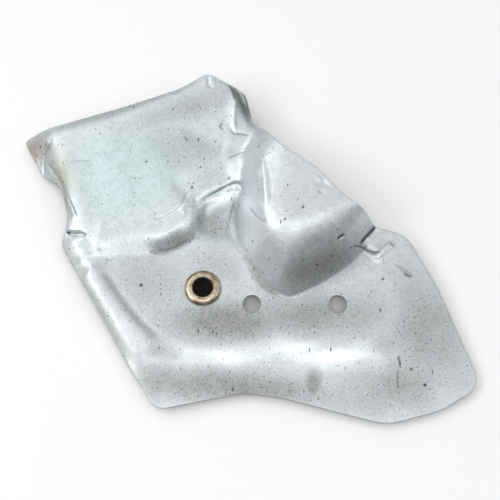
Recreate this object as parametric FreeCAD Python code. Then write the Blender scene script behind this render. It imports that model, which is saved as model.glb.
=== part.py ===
import FreeCAD, Part
import math
import os

# Pressed heat shield with one flanged bush, in millimetres.
# The origin is on the bush axis at the underside of the flat pan.
# X runs along the row of two plain holes, Z points up out of the pan.

# Sheet
SHEET_T = 1.0

# Reach of the trimmed sheet from the bush axis: left, right, front and back
EAR_REACH = 85.0
LOBE_REACH = 118.0
FRONT_REACH = 58.3
BACK_REACH = 101.2

# Grid that the form is drawn on: zone ends and the step in each zone, finer across the walls and folds
GRID_MARGIN = 8.4
GRID_X = (
    [-EAR_REACH - GRID_MARGIN, -26.0, 36.0, 58.0, 86.0, LOBE_REACH + GRID_MARGIN],
    [4.0, 2.2, 3.6, 2.2, 4.0],
)
GRID_Y = ([-FRONT_REACH - GRID_MARGIN, -4.0, 50.0, BACK_REACH + GRID_MARGIN], [4.0, 2.2, 4.0])

# Trimmed outline: corner x, corner y, corner radius
OUTLINE = [
    (-EAR_REACH, 73.8, 1.5),
    (-70.0, 76.0, 14.0),
    (-34.0, 86.5, 90.0),
    (-11.0, 94.0, 40.0),
    (0.5, BACK_REACH, 6.0),
    (11.0, 94.8, 8.0),
    (18.3, 93.8, 0.8),
    (21.0, 78.5, 12.0),
    (34.5, 58.5, 24.0),
    (50.0, 47.5, 30.0),
    (61.0, 34.5, 26.0),
    (73.5, 28.8, 6.0),
    (89.5, 24.8, 13.0),
    (102.0, 1.0, 60.0),
    (LOBE_REACH, -42.0, 9.0),
    (100.0, -52.5, 30.0),
    (77.0, -FRONT_REACH, 22.0),
    (33.0, -47.0, 40.0),
    (17.0, -45.2, 30.0),
    (-18.5, -52.2, 6.5),
    (-31.0, -34.0, 90.0),
    (-63.5, 21.0, 6.5),
    (-60.2, 33.0, 16.0),
    (-65.0, 47.8, 10.0),
    (-74.5, 55.0, 7.0),
]

# Flat pan and its rim
PAN_Z = 0.0
PAN_RIM_ANGLE = 13.0
PAN_RIM_R_TOP = 12.0
PAN_RIM_R_FOOT = 9.0
PAN_RIM_SOFT_R = 45.0
PAN_RIM_SOFT_X = (66.0, 80.0)
PAN_EDGE = [
    (-49.0, 16.0), (-39.5, 1.5), (-27.0, -13.0), (-16.0, -22.0), (-7.0, -24.0), (2.0, -24.5),
    (15.5, -23.0), (25.5, -19.5), (33.0, -19.0), (41.5, -21.0), (51.0, -24.5), (60.0, -25.0),
    (70.5, -22.0), (75.0, -16.5), (79.0, -5.0), (82.5, 5.0), (82.0, 24.0), (90.0, 45.0),
    (45.0, 125.0), (-100.0, 125.0), (-100.0, 24.0),
]

# Outer flange along the bottom and the lobe on the right, both falling away from the pan
FLANGE_Y = -26.0
FLANGE_STEP = 1.4
FLANGE_SLOPE = 0.06
FLANGE_TOP = 0.4
LOBE_X = 80.0
LOBE_Y = -5.0
LOBE_TOP = 0.4
LOBE_SLOPE = 0.07
LOBE_HEADING = -25.0
FLANGE_BLEND = 4.0

# Round pad under the bush and the gutter above it, which climbs into a channel
PAD_R = 24.0
GUTTER_DEPTH = 1.1
GUTTER_W = 3.5
GUTTER_FADE_FRONT = (0.0, 14.0)
GUTTER_FADE_LEFT = (-26.0, -12.0)
GUTTER_FADE_RIGHT = (44.0, 32.0)
CHANNEL_Y = 26.0
CHANNEL_RISE = 6.5
CHANNEL_ANGLE = 24.0
CHANNEL_R = 26.0
CHANNEL_HEAD_R = 8.0

# Raised panel on the upper left, rising gently to the back
PLATEAU_Z = -0.8
PLATEAU_SLOPE_X = 0.045
PLATEAU_SLOPE_Y = 0.165
PLATEAU_CROWN_R = 640.0
PLATEAU_CORNER_X = -45.0
PLATEAU_EDGE = [
    (-79.5, 7.0), (-58.5, 16.5), (-45.5, 21.5), (-32.5, 25.5), (-20.0, 25.5), (-13.0, 28.2),
    (-8.0, 33.6), (-6.5, 39.5), (-2.5, 42.0), (6.5, 46.3), (15.0, 49.0), (45.0, 46.0),
    (45.0, 118.0), (-95.0, 118.0), (-95.0, 10.0),
]
SHOULDER_ANGLE = 14.0
SHOULDER_R_TOP = 12.0
SHOULDER_R_FOOT = 16.0
STEP_ANGLE = 48.0
STEP_R_TOP = 14.0
STEP_R_FOOT = 2.4
STEP_FROM_X = -30.0
STEP_FULL_X = -14.0
HEAD_ANGLE = 60.0
HEAD_R_TOP = 2.5
HEAD_FROM_X = -7.0
HEAD_FULL_X = 1.0

# Deep-drawn bulge on the right: its wall rolls over from the crest line and falls to the foot line
BULGE_Z = 20.8
BULGE_MID_X = 42.0
BULGE_CROWN_R = 180.0
BULGE_CHEEK_R = 45.0
BULGE_CREST = [
    (30.0, 90.0), (28.0, 68.0), (26.8, 55.0), (26.5, 45.0), (27.5, 35.0), (31.0, 28.5), (37.0, 27.0),
    (44.0, 28.5), (54.5, 31.0), (63.0, 33.5), (76.0, 38.0),
]
BULGE_FOOT = [
    (4.0, 100.0), (8.0, 76.0), (12.5, 62.0), (15.5, 52.0), (16.0, 44.0), (14.5, 37.0), (14.2, 30.0),
    (15.2, 22.0), (18.2, 13.4), (24.0, 6.0), (29.0, 0.3), (33.4, -2.4), (37.7, -3.4), (42.0, -2.1),
    (51.0, 2.4), (62.0, 9.7), (68.0, 15.3), (73.0, 22.5), (78.0, 35.0), (85.0, 60.0),
]
BULGE_ROLL = 0.72
BULGE_FOOT_BLEND = 1.2
BULGE_END = [(57.0, 8.0), (64.0, 40.0), (67.0, 55.0)]
BULGE_END_R = 30.0
BULGE_END_ANGLE = 32.0
BULGE_HEEL = (30.0, 50.0)
BULGE_HEEL_HEADING = 127.0
BULGE_HEEL_R = 30.0
BULGE_HEEL_ANGLE = 24.0

# Edges that roll down
BACK_LINE = [(-87.5, 62.0), (-67.5, 70.0), (-34.0, 80.0), (-11.5, 88.5), (-1.5, 94.5), (8.5, 104.0)]
BACK_R = 9.0
BACK_ANGLE = 30.0
SIDE_LINE = [
    (-16.0, -58.0), (-26.0, -29.0), (-38.0, -6.0), (-48.5, 11.5), (-52.5, 21.5), (-53.0, 33.5),
    (-56.0, 50.5), (-62.5, 65.5), (-71.0, 80.5),
]
SIDE_R = 13.0
SIDE_ANGLE = 35.0
FLAP_LINE = [(-7.5, 108.5), (7.5, 93.5), (13.0, 85.0), (16.5, 74.0), (26.0, 67.0), (38.5, 59.0)]
FLAP_R = 6.0
FLAP_ANGLE = 58.0
FLAP_FADE_X = (21.0, 45.0)
FLAP_FADE_Y = (55.0, 75.0)

# Folds, ribs and dents: centre line, half width, height
CREASES = [
    ([(-23.0, 17.5), (-18.5, 18.0), (-13.0, 20.5), (-8.0, 25.0)], 5.0, -1.0),
    ([(-9.0, 35.5), (-3.0, 40.5), (7.0, 44.0), (14.5, 47.0), (19.0, 42.0)], 3.4, 0.4),
    ([(-12.0, 40.0), (-1.0, 48.0), (14.0, 53.0)], 13.0, -1.5),
    ([(25.5, 54.5), (27.0, 39.5), (28.0, 28.0)], 3.2, 0.6),
    ([(11.5, 95.0), (14.0, 89.5), (13.0, 82.5), (13.0, 71.5)], 3.2, 0.9),
    ([(11.0, 60.0), (21.0, 62.0)], 5.0, -0.5),
    ([(-61.5, 25.5), (-50.0, 24.0)], 3.2, -1.2),
    ([(75.0, 27.5), (68.5, 19.5)], 3.0, -1.6),
    ([(59.5, 21.0), (65.5, 18.5), (76.0, 17.0)], 3.0, -0.7),
    ([(75.0, 14.5), (83.0, 20.5)], 3.2, 0.8),
    ([(50.5, 40.0), (53.5, 44.0)], 3.0, -0.5),
    ([(-9.0, 72.5), (0.0, 68.5), (10.0, 62.5)], 10.0, -0.45),
    ([(-52.0, 12.0), (-40.5, -6.5), (-30.0, -20.0), (-18.5, -30.5)], 10.0, 2.0),
    ([(-70.5, 68.5), (-72.5, 65.5), (-73.5, 61.0), (-73.5, 54.0)], 5.0, -0.9),
]
CREASE_FADE = 0.22
CREASE_TAIL = 0.15

# Holes
BOLT_HOLE_R = 4.0
BOLT_HOLE_X = 21.3
BOLT_HOLE_Y = -7.0
BOLT_HOLE_PITCH = 37.0

# Flanged bush swaged into the sheet
BUSH_BORE_R = 4.25
BUSH_WALL = 1.1
BUSH_GAP = 0.05
BUSH_SEAT = 0.05
BUSH_FLANGE_R = 7.9
BUSH_FLANGE_H = 2.0
BUSH_RIM_H = 0.7
BUSH_MOUTH = 0.5
BUSH_BARREL_DROP = 3.2
BUSH_LIP_R = 6.7
BUSH_LIP_H = 1.2
BUSH_LIP_BELLY_R = 6.4
BUSH_LIP_BELLY_H = 0.35
BUSH_DOME_IN = 0.35
BUSH_DOME_UP = 0.72

# Height that every tool of the form clears
FIELD_TOP = 60.0


def ease(t):
    t = max(0.0, min(1.0, t))
    return t * t * t * (10.0 - 15.0 * t + 6.0 * t * t)


def ramp(value, start, full):
    return ease((value - start) / (full - start))


def mix(a, b, share):
    return a + (b - a) * share


def soft_min(a, b, width):
    if width < 1e-6:
        return min(a, b)
    overlap = max(width - abs(a - b), 0.0) / width
    return min(a, b) - overlap * overlap * width * 0.25


def nearest(x, y, points, closed, open_ends):
    """Distance from a point to a chain of lines, its side, and the share of the way along."""
    count = len(points) if closed else len(points) - 1
    best = None
    total = 0.0
    for i in range(count):
        ax, ay = points[i]
        bx, by = points[(i + 1) % len(points)]
        ex = bx - ax
        ey = by - ay
        length = math.hypot(ex, ey)
        t = ((x - ax) * ex + (y - ay) * ey) / (length * length)
        low = -1e9 if open_ends and i == 0 else 0.0
        high = 1e9 if open_ends and i == count - 1 else 1.0
        t = max(low, min(high, t))
        gap = math.hypot(x - ax - ex * t, y - ay - ey * t)
        side = ex * (y - ay) - ey * (x - ax)
        if best is None or gap < best[0] - 1e-9:
            best = (gap, side, total + t * length)
        total += length
    return best[0], best[1], best[2] / total


def inside(x, y, points):
    odd = False
    for i in range(len(points)):
        ax, ay = points[i - 1]
        bx, by = points[i]
        if (ay > y) != (by > y) and x < (bx - ax) * (y - ay) / (by - ay) + ax:
            odd = not odd
    return odd


def outside_distance(x, y, points):
    if inside(x, y, points):
        return 0.0
    return nearest(x, y, points, True, False)[0]


def right_of(x, y, points):
    gap, side, share = nearest(x, y, points, False, True)
    return -gap if side > 0.0 else gap


def wall_drop(run, height, angle_deg, r_top, r_foot):
    """Drop of a pressed wall at a distance from its top line, rounded at the top and at the foot."""
    if run <= 0.0 or height <= 0.0:
        return 0.0
    angle = math.radians(angle_deg)
    curved = (r_top + r_foot) * (1.0 - math.cos(angle))
    if curved > height:
        angle = math.acos(1.0 - height / (r_top + r_foot))
        curved = height
    top_run = r_top * math.sin(angle)
    foot_run = r_foot * math.sin(angle)
    straight = (height - curved) / math.tan(angle)
    if run < top_run:
        return r_top - math.sqrt(r_top * r_top - run * run)
    if run < top_run + straight:
        return r_top * (1.0 - math.cos(angle)) + (run - top_run) * math.tan(angle)
    left = top_run + straight + foot_run - run
    if left <= 0.0:
        return height
    return height - r_foot + math.sqrt(r_foot * r_foot - left * left)


def roll_share(t, roll):
    """Share of a wall's drop at t of the way: it steepens over the roll, then runs straight."""
    full = 1.0 - roll / 2.0
    if t < roll:
        return t * t / (2.0 * roll * full)
    return (t - roll / 2.0) / full


def bend_drop(run, radius, angle_deg):
    """Drop of an edge that rolls down over a radius to a set angle."""
    if run <= 0.0:
        return 0.0
    angle = math.radians(angle_deg)
    curved = radius * math.sin(angle)
    if run < curved:
        return radius - math.sqrt(radius * radius - run * run)
    return radius * (1.0 - math.cos(angle)) + (run - curved) * math.tan(angle)


def along(x, y, start, heading_deg):
    heading = math.radians(heading_deg)
    return (x - start[0]) * math.cos(heading) + (y - start[1]) * math.sin(heading)


def apron_height(x, y):
    flange = soft_min(-FLANGE_STEP + FLANGE_SLOPE * (y - FLANGE_Y), FLANGE_TOP, FLANGE_BLEND)
    lobe = LOBE_TOP - LOBE_SLOPE * along(x, y, (LOBE_X, LOBE_Y), LOBE_HEADING)
    return PAN_Z + soft_min(flange, lobe, FLANGE_BLEND)


def pan_height(x, y):
    apron = apron_height(x, y)
    run = outside_distance(x, y, PAN_EDGE)
    soft = ramp(x, *PAN_RIM_SOFT_X)
    r_top = mix(PAN_RIM_R_TOP, PAN_RIM_SOFT_R, soft)
    r_foot = mix(PAN_RIM_R_FOOT, PAN_RIM_SOFT_R, soft)
    drop = wall_drop(run, abs(PAN_Z - apron), PAN_RIM_ANGLE, r_top, r_foot)
    z = PAN_Z - drop if apron < PAN_Z else PAN_Z + drop
    gutter = ramp(math.hypot(x, y), PAD_R, PAD_R + GUTTER_W) * ramp(y, *GUTTER_FADE_FRONT)
    gutter *= ramp(x, *GUTTER_FADE_RIGHT) * ramp(x, *GUTTER_FADE_LEFT)
    climb = wall_drop(y - CHANNEL_Y, CHANNEL_RISE, CHANNEL_ANGLE, CHANNEL_R, CHANNEL_HEAD_R)
    floor = PAN_Z - GUTTER_DEPTH + climb
    return mix(z, floor, gutter)


def plateau_height(x, y, base):
    top = PLATEAU_Z + PLATEAU_SLOPE_X * (x - PLATEAU_CORNER_X) + PLATEAU_SLOPE_Y * y
    top -= y * y / (2.0 * PLATEAU_CROWN_R)
    if top <= base:
        return base
    steep = ramp(x, STEP_FROM_X, STEP_FULL_X)
    angle = mix(SHOULDER_ANGLE, STEP_ANGLE, steep)
    head = ramp(x, HEAD_FROM_X, HEAD_FULL_X)
    angle = mix(angle, HEAD_ANGLE, head)
    r_top = mix(mix(SHOULDER_R_TOP, STEP_R_TOP, steep), HEAD_R_TOP, head)
    r_foot = mix(SHOULDER_R_FOOT, STEP_R_FOOT, steep)
    return top - wall_drop(outside_distance(x, y, PLATEAU_EDGE), top - base, angle, r_top, r_foot)


def bulge_height(x, y, base):
    crown_r = BULGE_CHEEK_R if x < BULGE_MID_X else BULGE_CROWN_R
    top = BULGE_Z - (x - BULGE_MID_X) ** 2 / (2.0 * crown_r)
    top -= bend_drop(right_of(x, y, BULGE_END), BULGE_END_R, BULGE_END_ANGLE)
    top -= bend_drop(along(x, y, BULGE_HEEL, BULGE_HEEL_HEADING), BULGE_HEEL_R, BULGE_HEEL_ANGLE)
    if top <= base:
        return base
    past_crest = right_of(x, y, BULGE_CREST)
    if past_crest <= 0.0:
        return top
    span = past_crest - right_of(x, y, BULGE_FOOT)
    if span <= 0.0:
        return base
    wall = top - (top - base) * roll_share(past_crest / span, BULGE_ROLL)
    return -soft_min(-base, -wall, BULGE_FOOT_BLEND)


def crease_height(x, y):
    total = 0.0
    for points, half_width, height in CREASES:
        gap, side, share = nearest(x, y, points, False, False)
        if gap < half_width:
            tail = ease(min(share, 1.0 - share) / CREASE_FADE + CREASE_TAIL)
            total += height * ease(1.0 - gap / half_width) * tail
    return total


def form_height(x, y):
    """Height of the underside of the pressed sheet."""
    z = pan_height(x, y)
    z = plateau_height(x, y, z)
    z = bulge_height(x, y, z)
    z -= bend_drop(-right_of(x, y, BACK_LINE), BACK_R, BACK_ANGLE)
    z -= bend_drop(-right_of(x, y, SIDE_LINE), SIDE_R, SIDE_ANGLE)
    flap = ramp(x, FLAP_FADE_X[1], FLAP_FADE_X[0]) * ramp(y, FLAP_FADE_Y[0], FLAP_FADE_Y[1])
    z -= bend_drop(-right_of(x, y, FLAP_LINE), FLAP_R, FLAP_ANGLE) * flap
    return z + crease_height(x, y)


def grid_lines(ends, steps):
    lines = [ends[0]]
    for low, high, step in zip(ends, ends[1:], steps):
        count = max(1, int(round((high - low) / step)))
        for i in range(count):
            lines.append(low + (high - low) * (i + 1) / count)
    return lines


def form_grid():
    rows = []
    for x in grid_lines(*GRID_X):
        rows.append([FreeCAD.Vector(x, y, form_height(x, y)) for y in grid_lines(*GRID_Y)])
    return rows


def lifted(rows, amount):
    """The same grid moved out along its own normals."""
    out = []
    for i in range(len(rows)):
        row = []
        for j in range(len(rows[i])):
            du = rows[min(i + 1, len(rows) - 1)][j] - rows[max(i - 1, 0)][j]
            dv = rows[i][min(j + 1, len(rows[i]) - 1)] - rows[i][max(j - 1, 0)]
            normal = du.cross(dv)
            normal.normalize()
            row.append(rows[i][j] + normal * amount)
        out.append(row)
    return out


def skin(rows):
    surface = Part.BSplineSurface()
    surface.interpolate(rows)
    return surface.toShape()


def rounded_wire(corners):
    """Closed wire of straight lines with an arc at each corner."""
    count = len(corners)
    tangents = []
    for i in range(count):
        p = FreeCAD.Vector(corners[i][0], corners[i][1], 0.0)
        a = FreeCAD.Vector(corners[i - 1][0], corners[i - 1][1], 0.0) - p
        b = FreeCAD.Vector(corners[(i + 1) % count][0], corners[(i + 1) % count][1], 0.0) - p
        reach = 0.49 * min(a.Length, b.Length)
        half = a.getAngle(b) / 2.0
        cut = min(reach, corners[i][2] / math.tan(half))
        radius = cut * math.tan(half)
        a.normalize()
        b.normalize()
        middle = a + b
        middle.normalize()
        centre = p + middle * (radius / math.sin(half))
        tangents.append((p + a * cut, centre - middle * radius, p + b * cut))
    edges = []
    for i in range(count):
        start, mid, end = tangents[i]
        edges.append(Part.Arc(start, mid, end).toShape())
        edges.append(Part.LineSegment(end, tangents[(i + 1) % count][0]).toShape())
    return Part.Wire(edges)


def post(x, y, radius, low, high):
    return Part.makeCylinder(radius, high - low, FreeCAD.Vector(x, y, low))


def pressed_shield():
    rows = form_grid()
    down = FreeCAD.Vector(0.0, 0.0, -2.0 * FIELD_TOP)
    face = Part.Face(rounded_wire(OUTLINE))
    face.translate(FreeCAD.Vector(0.0, 0.0, FIELD_TOP / 2.0))
    blank = face.extrude(FreeCAD.Vector(0.0, 0.0, -FIELD_TOP))
    sheet = blank.common(skin(lifted(rows, SHEET_T)).extrude(down))
    sheet = sheet.cut(skin(rows).extrude(down))
    hole_r = BUSH_BORE_R + BUSH_WALL + BUSH_GAP
    cuts = [post(0.0, 0.0, hole_r, -FIELD_TOP, FIELD_TOP)]
    for i in range(2):
        x = BOLT_HOLE_X + i * BOLT_HOLE_PITCH
        cuts.append(post(x, BOLT_HOLE_Y, BOLT_HOLE_R, -FIELD_TOP, FIELD_TOP))
    top_seat = PAN_Z + SHEET_T - BUSH_SEAT
    low_seat = PAN_Z + BUSH_SEAT
    cuts.append(post(0.0, 0.0, BUSH_FLANGE_R + BUSH_GAP, top_seat, FIELD_TOP))
    cuts.append(post(0.0, 0.0, BUSH_LIP_R + BUSH_GAP, -FIELD_TOP, low_seat))
    return sheet.cut(cuts)


def flanged_bush():
    seat = PAN_Z + SHEET_T - BUSH_SEAT
    low_seat = PAN_Z + BUSH_SEAT
    top = seat + BUSH_FLANGE_H
    bottom = PAN_Z - BUSH_BARREL_DROP
    barrel_r = BUSH_BORE_R + BUSH_WALL
    lip_low = low_seat - BUSH_LIP_H

    def at(r, z):
        return FreeCAD.Vector(r, 0.0, z)

    crown_r = BUSH_BORE_R + BUSH_MOUTH
    dome_r = mix(BUSH_FLANGE_R, crown_r, BUSH_DOME_IN)
    dome_z = mix(seat + BUSH_RIM_H, top, BUSH_DOME_UP)
    lip_belly = at(BUSH_LIP_BELLY_R, lip_low + BUSH_LIP_BELLY_H)
    edges = [
        Part.LineSegment(at(BUSH_BORE_R, bottom), at(barrel_r, bottom)),
        Part.LineSegment(at(barrel_r, bottom), at(barrel_r, lip_low)),
        Part.Arc(at(barrel_r, lip_low), lip_belly, at(BUSH_LIP_R, low_seat)),
        Part.LineSegment(at(BUSH_LIP_R, low_seat), at(barrel_r, low_seat)),
        Part.LineSegment(at(barrel_r, low_seat), at(barrel_r, seat)),
        Part.LineSegment(at(barrel_r, seat), at(BUSH_FLANGE_R, seat)),
        Part.LineSegment(at(BUSH_FLANGE_R, seat), at(BUSH_FLANGE_R, seat + BUSH_RIM_H)),
        Part.Arc(at(BUSH_FLANGE_R, seat + BUSH_RIM_H), at(dome_r, dome_z), at(crown_r, top)),
        Part.LineSegment(at(crown_r, top), at(BUSH_BORE_R, top - BUSH_MOUTH)),
        Part.LineSegment(at(BUSH_BORE_R, top - BUSH_MOUTH), at(BUSH_BORE_R, bottom)),
    ]
    profile = Part.Face(Part.Wire([edge.toShape() for edge in edges]))
    return profile.revolve(FreeCAD.Vector(0.0, 0.0, 0.0), FreeCAD.Vector(0.0, 0.0, 1.0), 360.0)


def main():
    os.makedirs("parts", exist_ok=True)
    pressed_shield().exportStep("parts/pressed_shield.step")
    flanged_bush().exportStep("parts/flanged_bush.step")


if __name__ == "__main__":
    main()
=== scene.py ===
import math

import bpy
import numpy as np
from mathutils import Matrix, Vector
from mathutils.bvhtree import BVHTree
from mathutils.geometry import delaunay_2d_cdt
from mathutils.kdtree import KDTree


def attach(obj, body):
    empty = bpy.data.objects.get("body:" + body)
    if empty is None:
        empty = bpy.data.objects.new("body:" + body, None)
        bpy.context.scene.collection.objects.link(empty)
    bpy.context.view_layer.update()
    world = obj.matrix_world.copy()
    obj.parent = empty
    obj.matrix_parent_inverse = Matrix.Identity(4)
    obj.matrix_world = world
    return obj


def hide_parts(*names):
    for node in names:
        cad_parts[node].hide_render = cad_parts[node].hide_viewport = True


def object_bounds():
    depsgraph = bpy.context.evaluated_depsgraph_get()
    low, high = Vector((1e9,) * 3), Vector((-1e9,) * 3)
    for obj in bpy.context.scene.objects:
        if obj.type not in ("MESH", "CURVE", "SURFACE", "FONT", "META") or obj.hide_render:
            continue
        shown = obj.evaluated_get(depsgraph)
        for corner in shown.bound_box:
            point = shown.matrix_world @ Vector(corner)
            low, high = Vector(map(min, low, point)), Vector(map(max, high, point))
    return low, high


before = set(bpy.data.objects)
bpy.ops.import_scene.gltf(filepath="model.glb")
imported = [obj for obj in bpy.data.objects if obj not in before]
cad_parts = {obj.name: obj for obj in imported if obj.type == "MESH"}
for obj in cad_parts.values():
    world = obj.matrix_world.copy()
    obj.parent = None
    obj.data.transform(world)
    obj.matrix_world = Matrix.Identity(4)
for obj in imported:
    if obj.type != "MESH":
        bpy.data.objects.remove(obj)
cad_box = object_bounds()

# The object's lengths are in millimetres until a mesh is written, the stage's are in metres
MM = 0.001
FULL_TURN = 2.0 * math.pi
TINY = 1e-9

# Camera: looking along +Y and down on the pan, in a square picture of PICTURE pixels a side
PICTURE = 500.0
CAMERA_ELEVATION = math.radians(70.0)
CAMERA_DISTANCE = 400.0
CAMERA_TARGET = np.array([20.4, 18.0, 0.0])
CAMERA_FOV = math.radians(30.8)
CAMERA_CLIP = 0.01
CAMERA_RIGHT = np.array([1.0, 0.0, 0.0])
CAMERA_UP = np.array([0.0, math.sin(CAMERA_ELEVATION), math.cos(CAMERA_ELEVATION)])
CAMERA_AHEAD = np.array([0.0, math.cos(CAMERA_ELEVATION), -math.sin(CAMERA_ELEVATION)])
CAMERA_PLACE = CAMERA_TARGET - CAMERA_AHEAD * CAMERA_DISTANCE
FOCAL_PIXELS = 0.5 * PICTURE / math.tan(0.5 * CAMERA_FOV)
PIXEL = CAMERA_DISTANCE / FOCAL_PIXELS

# Height grid over the sheet: how it is cast, carried on past the edges and smoothed
TOP_STEP = 0.55
MARGIN = 6.0
CAST_FROM = 10.0
CAST_STEPS = 16
GRID_END = 1.001
FILL_CELLS = 4
NEIGHBOURS = ((1, 0), (-1, 0), (0, 1), (0, -1), (1, 1), (-1, -1), (1, -1), (-1, 1))
SMOOTH_REACH = 1.1
BLUR_SPAN = 3.0

# Sheet mesh: steps of its grids, edges, holes and the seat of the bush
SHEET_T = 1.0
UNDER_STEP = 1.2
SLOPE_STEP = 0.5
FIELD_CLEAR = 0.55
FINE_CLEAR = 0.16
WELD = 1e-5
PLAN_SLACK = 1e-4
PLAN_DIGITS = 3
OUTLINE_SPAN = 50.0
EDGE_INSET = 0.2
EDGE_ROUND = 0.16
HOLE_POINTS = 96
BUSH_NEAR = 1.0
BUSH_HOLE_R = 5.45
SEAT_R = 8.1
SEAT_TOP = 0.94
SEAT_UNDER = 0.06

# Faint unevenness of the pressing
WAVE_SEED = 11
WAVES = 9
WAVE_HEIGHT = 0.035
WAVE_LENGTHS = (14.0, 42.0)

# Profiles of wrinkles and lines, in half widths, and how they run out at their ends
LINE_REACH = 3.0
STEP_REACH = 9.0
STEP_EASE = 0.6
STEP_FADE = 4.0
BANK_EASE = 1.2
TAPER_SHARE = 0.14
TAPER_START = 0.12
SCRATCH_BLUNT = 0.3
DOT_CORE = 1.6
DOT_FADE = 1.2
CHAIN_PIECES = 6

# Extra corners of the mesh along narrow wrinkles, scratches, painted shade lines and dots
NARROW = 1.0
UNDER_NARROWEST = 0.85
WRINKLE_SPACING = 0.45
WRINKLE_OFFSETS = (-0.75, -0.4, 0.0, 0.4, 0.75)
SCRATCH_SPACING = 0.4
SCRATCH_OFFSETS = (-0.3, 0.0, 0.3)
DOT_RINGS = ((0.0, 1), (0.55, 6), (1.05, 10))

# Light: heading of the bright side of the surround, where it falls off, its strengths, and the softboxes:
# name, elevation, azimuth from +Y towards +X, width, height, power
WORLD_HEADING = (-0.15, 0.22, 0.964)
WORLD_FALL = (0.1, 1.0)
WORLD_DIM = 0.06
WORLD_BRIGHT = 1.0
LIGHT_AIM = Vector((0.02, 0.02, 0.0))
SOFTBOX_DISTANCE = 1.1
SOFTBOXES = [
    ("key", 74.0, 172.0, 0.9, 0.25, 2.2),
    ("left_front", 38.0, 262.0, 0.7, 0.4, 3.4),
    ("left_back", 40.0, 310.0, 0.6, 0.4, 1.5),
    ("right", 32.0, 95.0, 0.6, 0.5, 1.4),
]

# Floor: a sweep that is flat around the object
FLOOR_SIZE = 6.0
FLOOR_FLAT = 1.5
FLOOR_CURL = 0.09
FLOOR_CELLS = 60
FLOOR_COLOUR = (0.87, 0.87, 0.87, 1.0)
FLOOR_ROUGH = 0.9
FLOOR_GLOSS = 0.1

# Sockets of the colour mix node
MIX_SHARE = 0
MIX_A = 6
MIX_B = 7
MIX_RESULT = 2

# Noise: scale and detail, and the band of its values that is spread out
PLAIN = (1.0, 1.0, 1.0)
PLAN_ONLY = (1.0, 1.0, 0.0)
BROAD_NOISE = (60.0, 4.0)
MIDDLE_NOISE = (330.0, 3.0)
GRAIN_NOISE = (1500.0, 2.0)
NOISE_BAND = (0.3, 0.7)
WIDE_BAND = (0.2, 0.8)

# Colours of the sheet
CLEAN_LOW = (0.535, 0.575, 0.60, 1.0)
CLEAN_HIGH = (0.665, 0.71, 0.74, 1.0)
# Colour of the painted highlights
PAINTED_HIGHLIGHT_COLOUR = (0.80, 0.85, 0.88, 1.0)
COOL = (0.90, 1.0, 0.98, 1.0)
# Colours of dirt, also laid on as painted shade
DIRT_AND_SHADE_LOW = (0.24, 0.25, 0.245, 1.0)
DIRT_AND_SHADE_HIGH = (0.36, 0.375, 0.37, 1.0)
BAKED = (0.33, 0.28, 0.21, 1.0)
SPECK = (0.05, 0.045, 0.04, 1.0)
BLACK = (0.022, 0.02, 0.018, 1.0)

# How dirt and painted shade, baked tan and flecks vary over the sheet
UNDER_GRIME = 0.95
PATCH_BROAD = (0.84, 1.02)
PATCH_MIDDLE = (-0.22, 0.22)
FILM_BAND = (0.45, 0.8)
FILM = (0.0, 0.12)
BAKE = (0.6, 1.1)
FLECK_SHARE = 0.5
FLECK_BAND = (0.38, 0.62)

# Strewn specks, dust and dashes: cells per metre, largest radius in cells,
# and the share of cells that hold one on clean and on dirty metal
SPECK_SCALE = 420.0
SPECK_SIZE = 0.2
SPECK_DENSITY = (0.1, 0.6)
SPECK_SHADE = 0.92
SPECK_LEAST = 0.35
SPECK_CORE = 0.4
SPECK_FAINT = 0.35
DUST_SCALE = 850.0
DUST_SIZE = 0.25
DUST_DENSITY = (0.12, 0.8)
DUST_SHADE = 0.85
DASH_STRETCH = (1.0, 0.35, 1.0)
DASH_SCALE = 330.0
DASH_SIZE = 0.15
DASH_DENSITY = (0.06, 0.5)
SPECK_GRIME = (0.0, 0.9)
DASH_GRIME = (0.2, 0.9)

# Gloss and grain of the sheet
CLEAN_METAL = 0.75
DIRTY_METAL = 0.35
CLEAN_ROUGH = 0.42
DIRTY_ROUGH = 0.58
ROUGH_SWING = (-0.04, 0.04)
BUMP_MIDDLE = 0.6
SHEET_BUMP = (0.12, 0.0002)

# Finish of the bush
BRONZE = (0.30, 0.235, 0.14, 1.0)
BRONZE_WORN = (0.56, 0.50, 0.40, 1.0)
BRONZE_DARK = (0.10, 0.06, 0.035, 1.0)
WEAR_GRAIN = 0.5
WEAR_BAND = (0.55, 0.95)
PIT_BAND = (0.6, 0.75)
PIT = (0.0, 0.5)
BUSH_ROUGH = (0.22, 0.4)
BUSH_BUMP = (0.15, 0.0002)
# Painted shade down the bore and below the flange: radii and heights where it fades in, and its roughness
BORE_SHADE_R = (4.8, 4.6)
BORE_SHADE_Z = (2.9, 2.6)
UNDER_FLANGE_SHADE_Z = (1.3, 1.0)
PAINTED_SHADE_ROUGH = 0.8

# Black disc low in the bore that stands in for its shade: share of the radius and height of each ring
SHADE_DISC_COLOUR = (0.012, 0.01, 0.008, 1.0)
SHADE_DISC_SEED = 5
SHADE_DISC_UNEVEN = 0.08
SHADE_DISC_R = 4.2
SHADE_DISC_Z = -2.4
SHADE_DISC_THICK = 0.5
SHADE_DISC_TURNS = 48
SHADE_DISC_RINGS = [(0.12, -0.15), (0.4, -0.1), (0.7, 0.0), (0.9, 0.25), (1.0, 0.5)]
SHADE_DISC_ROUGH = 0.95
SHADE_DISC_GLOSS = 0.1
SHADE_DISC_BUMP = (0.5, 0.0005)

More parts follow.
